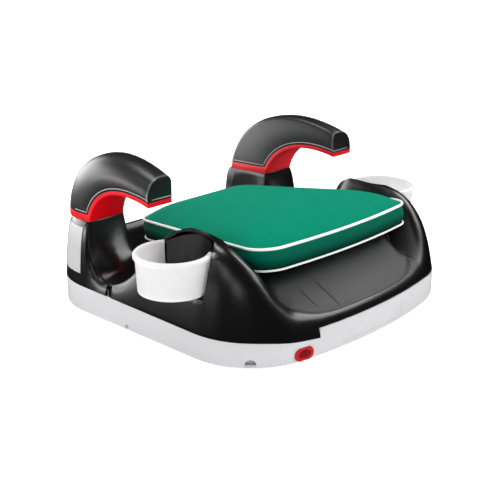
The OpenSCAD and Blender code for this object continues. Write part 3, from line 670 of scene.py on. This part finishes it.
def is_cut(face):
    """A face of the cut: it runs straight across the armrest and doesn't look up."""
    return abs(face.normal.x) < 0.2 and face.normal.z < 0.2 and cut_low_z < face.center.z < cut_high_z


def border_edges(mesh):
    """The sharp edges between walls and cut, each with the way that leads from the cut into the pad."""
    faces_at = {}
    for face in mesh.polygons:
        for key in face.edge_keys:
            faces_at.setdefault(key, []).append(face)
    borders = {}
    for key, faces in faces_at.items():
        if len(faces) != 2:
            continue
        for wall, cut in (faces, faces[::-1]):
            if is_wall(wall) and is_cut(cut) and wall.normal.angle(cut.normal) > math.radians(40):
                borders[key] = -cut.normal
    return borders


# %% [markdown]
# The border edges are lifted a little into the pad, everything else is deleted, and the wire that is left
# becomes a curve with a round section and then a mesh.

# %% Pad beads
bead_lift = 3 * MM
bead_radius = 0.75 * MM

# The bead's pale grey is a painted highlight along the pad's lower edge.
highlight_bead_finish = Finish("painted_highlight_pad_edge", IOR=1.5, Roughness=0.4)
highlight_bead_finish.set(Base_Color=highlight_bead_finish.mixed(highlight_bead_finish.noise(6 * MM), grey(0.3), grey(0.4)))


def keep_border(bead):
    """Lifts the border of a pad's copy and deletes all the rest of it."""
    borders = border_edges(bead.data)
    ways = {}
    for key, way in borders.items():
        for index in key:
            ways.setdefault(index, []).append(way)
    for edge in bead.data.edges:
        edge.select = edge.key in borders
    for vertex in bead.data.vertices:
        vertex.select = vertex.index in ways
        if vertex.select:
            vertex.co += sum(ways[vertex.index], Vector()).normalized() * bead_lift
    for face in bead.data.polygons:
        face.select = False
    print(bead.name, len(borders), "border edges")
    bpy.ops.object.mode_set(mode="EDIT")
    bpy.ops.mesh.select_mode(type="EDGE")
    bpy.ops.mesh.select_all(action="INVERT")
    bpy.ops.mesh.delete(type="EDGE")
    bpy.ops.object.mode_set(mode="OBJECT")


bpy.context.tool_settings.mesh_select_mode = (False, True, False)
for side in sides:
    keep_border(copy_of("armrest_pad_" + side, "pad_highlight_bead_" + side))
    bpy.ops.object.convert(target="CURVE")
    wire = bpy.context.object
    wire.data.bevel_depth = bead_radius
    wire.data.bevel_resolution = 1
    bpy.ops.object.convert(target="MESH")
    bpy.ops.object.shade_smooth()
    finish_piece(bpy.context.object, "seat", highlight_bead_finish, "black_pad")

# %% [markdown]
# Each armrest is a red core with a black pad pressed over it. The edge round the pad's tip is rounder
# than its other edges, so it goes into a vertex group and gets a wider bevel first.

# %% Cores and pads
tip_round = 3 * MM
tip_low_z = 180 * MM

for side in sides:
    core = copy_of("armrest_core_" + side, "armrest_red_core_" + side)
    soften(core, 0.6 * MM)
    finish_piece(core, "seat", red_finish, "red_plastic", "armrest_core_" + side)
    pad = copy_of("armrest_pad_" + side, "armrest_black_pad_" + side)
    tip_y = min(vertex.co.y for vertex in pad.data.vertices)
    tip = pad.vertex_groups.new(name="tip")
    for vertex in pad.data.vertices:
        if vertex.co.y < tip_y + 1 * MM and vertex.co.z > tip_low_z:
            tip.add([vertex.index], 1.0, "REPLACE")
    apply(pad, "BEVEL", width=tip_round, segments=4, limit_method="VGROUP", vertex_group="tip")
    soften(pad, 1.2 * MM)
    finish_piece(pad, "seat", pad_finish, "black_pad", "armrest_pad_" + side)

# %% [markdown]
# A plain blank plate sits on the outside of the left post. A flat plate would stand off the round corner,
# so a fine grid is laid beside the post and projected on to it, and then it gets a little thickness.

# %% Blank plate
plate_height = 62 * MM
plate_width = 40 * MM
plate_place = (-230 * MM, 143.5 * MM, 89 * MM)

plate_finish = Finish("blank_plate", IOR=1.45, Roughness=0.45)
plate_finish.set(Base_Color=plate_finish.mixed(plate_finish.noise(20 * MM), grey(0.46), grey(0.51)))
bpy.ops.object.select_all(action="DESELECT")
bpy.ops.mesh.primitive_grid_add(x_subdivisions=24, y_subdivisions=24, size=1)
plate = bpy.context.object
plate.name = "blank_plate"
plate.location = plate_place
plate.rotation_euler = (0, -math.pi / 2, 0)
plate.scale = (plate_height, plate_width, 1)
bpy.ops.object.transform_apply(location=True, rotation=True, scale=True)
apply(plate, "SHRINKWRAP", target=shell, wrap_method="PROJECT", use_project_x=True, offset=0.3 * MM)
apply(plate, "SOLIDIFY", thickness=0.5 * MM, offset=1)
finish_piece(plate, "seat", plate_finish, "white_plastic")

# %% [markdown]
# ## Cups
# The cups unhook from their niches, so each rides on a body of its own. Their form is right in CAD. Round
# edges let the lip catch the light.

# %% Cups
for side in sides:
    cup = copy_of("cup_holder_" + side, "cup_" + side)
    soften(cup, 0.6 * MM)
    finish_piece(cup, "cup_" + side, cup_finish, "white_plastic", "cup_holder_" + side)

# %% [markdown]
# ## Button
# The red button has a dish for the finger. The dish is in the CAD shape, and an oval mask paints shade in it
# with a darker red. The button faces a little to the left, so the oval is measured across the way in which
# the button is pressed, and that way comes from the record's joint.

# %% Button
dish_half_width = 10 * MM
dish_half_height = 5.5 * MM

joints = {joint["name"]: joint for joint in frame["record"]["behaviour"]["joints"]}
press_way = Vector(joints["button_press"]["axis"])
button_travel = joints["button_press"]["range_m"][1]
button = copy_of("push_button", "button_cap")
asides = [vertex.co.x * press_way.y - vertex.co.y * press_way.x for vertex in button.data.vertices]
heights = [vertex.co.z for vertex in button.data.vertices]
middle_aside = (min(asides) + max(asides)) / 2
middle_height = (min(heights) + max(heights)) / 2

button_finish = Finish("dark_red_button", IOR=1.46)
x, y, z = button_finish.axes()
aside = (x * press_way.y - y * press_way.x - middle_aside) / dish_half_width
upward = (z - middle_height) / dish_half_height
# The darker red inside the oval is painted shade in the dish.
dish_painted_shade = (aside * aside + upward * upward).step(1.1, 0.8)
button_cloud = button_finish.noise(12 * MM)
button_red = button_finish.mixed(button_cloud, (0.5, 0.002, 0.006, 1), (0.58, 0.004, 0.008, 1))
button_finish.set(
    Base_Color=button_finish.mixed(dish_painted_shade, button_red, (0.2, 0.0, 0.002, 1)),
    Roughness=0.25 + 0.1 * button_cloud,
)
soften(button, 0.7 * MM)
finish_piece(button, "button", button_finish, "red_button", "push_button")

# %% [markdown]
# ## Cushion
# The cushion is foam in a sewn cover. Cloth needs small faces of even size, so the CAD form is remeshed.
# Its seams and its underside are pinned: the seams because the piping holds them, the underside because
# it lies on the pan.

# %% Cushion form
cushion = copy_of("seat_cushion", "cushion_cover")
apply(cushion, "REMESH", mode="VOXEL", voxel_size=5 * MM)
seams = [nodes["cushion_piping_top"], nodes["cushion_piping_bottom"]]
seam_reach = 4 * MM


def seam_ways(point):
    """From a point to the top piping and to the bottom piping."""
    return [seam.closest_point_on_mesh(point)[1] - point for seam in seams]


start = [vertex.co.copy() for vertex in cushion.data.vertices]
sewn = cushion.vertex_groups.new(name="sewn")
for vertex in cushion.data.vertices:
    if min(way.length for way in seam_ways(vertex.co)) < seam_reach or vertex.normal.z < -0.7:
        sewn.add([vertex.index], 1.0, "REPLACE")
print("cushion form:", len(start), "points")

# %% [markdown]
# Cloth pressure swells the panels between the seams as the foam does. Moving the points by a formula
# would be quicker, but pressure finds the soft roll next to a seam by itself. A cap keeps every point
# close to where it started.

# %% Stuffing
last_frame = 20
most_swell = 5 * MM

cloth = cushion.modifiers.new("stuffing", "CLOTH")
cloth.settings.quality = 6
cloth.settings.use_pressure = True
cloth.settings.uniform_pressure_force = 4
cloth.settings.effector_weights.gravity = 0
cloth.settings.vertex_group_mass = "sewn"
cloth.point_cache.frame_start = 1
cloth.point_cache.frame_end = last_frame
for frame_number in range(1, last_frame + 1):
    bpy.context.scene.frame_set(frame_number)
select_only(cushion)
bpy.ops.object.modifier_apply(modifier=cloth.name)
bpy.context.scene.frame_set(1)
longest = 0
for vertex, home in zip(cushion.data.vertices, start):
    move = vertex.co - home
    longest = max(longest, move.length)
    vertex.co = home + move * min(1, most_swell / max(move.length, 1e-9))
print("cushion moved by %.1f mm before the cap" % (longest / MM))

# %% [markdown]
# The side panel, called the boxing, bulges most midway between the two pipings. It is narrow, so pressure
# alone leaves it flat, and the points between the seams also move out along a sine.

# %% Boxing
boxing_bulge = 3.5 * MM

for vertex in cushion.data.vertices:
    to_top, to_bottom = seam_ways(vertex.co)
    if to_top.z > 0 > to_bottom.z and vertex.normal.z < 0.7:
        share = to_bottom.length / (to_top.length + to_bottom.length)
        out = Vector((vertex.normal.x, vertex.normal.y, 0))
        vertex.co += out * boxing_bulge * math.sin(math.pi * share)
apply(cushion, "SUBSURF", levels=1, render_levels=1)
bpy.ops.object.shade_smooth()
finish_piece(cushion, "seat", cloth_finish, "green_fabric", "seat_cushion")

# %% [markdown]
# The piping is a cord in a strip of cloth, sewn into both seams. Its CAD tube is coarse, and two
# subdivisions make it round. The lower one looks thinner in the photograph, so its tube is made thinner
# first.

# %% Piping
bottom_shrink = 0.5 * MM

for level in ("top", "bottom"):
    piping = copy_of("cushion_piping_" + level, "piping_" + level)
    if level == "bottom":
        bpy.ops.object.mode_set(mode="EDIT")
        bpy.ops.mesh.select_all(action="SELECT")
        bpy.ops.transform.shrink_fatten(value=-bottom_shrink)
        bpy.ops.object.mode_set(mode="OBJECT")
    apply(piping, "SUBSURF", levels=2, render_levels=2)
    bpy.ops.object.shade_smooth()
    finish_piece(piping, "seat", piping_finish, "white_piping", "cushion_piping_" + level)

# %% [markdown]
# ## Small hidden pieces
# The button's spring shortens as the button goes in, while its far end stays on the guide. The copy gets a
# mesh of its own, and the share of its length that stays when the button is in is worked out; the copy itself
# is not squashed.

# %% Button spring
spring = copy_of("button_spring", "button_coil")
bpy.ops.object.shade_smooth()
finish_piece(spring, "seat", steel_finish, "screw_steel", "button_spring")
reaches = [vertex.co @ press_way for vertex in spring.data.vertices]
spring_length = max(reaches) - min(reaches)
keep = 1 - button_travel / spring_length
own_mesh(spring)
print("spring %.1f mm long, keeps %.2f of it" % (spring_length / MM, keep))

# %% [markdown]
# Feet, screws, strips and the button's clip keep their CAD shape and get their finish.

# %% Feet, screws, strips and clip
small_finishes = {
    "rubber_feet": rubber_finish,
    "base_screws": steel_finish,
    "armrest_screws": steel_finish,
    "cushion_tapes": strip_finish,
    "button_clip": steel_finish,
}
for name, finish in small_finishes.items():
    nodes[name].data.materials.clear()
    nodes[name].data.materials.append(finish.material)
print("small pieces:", len(small_finishes))
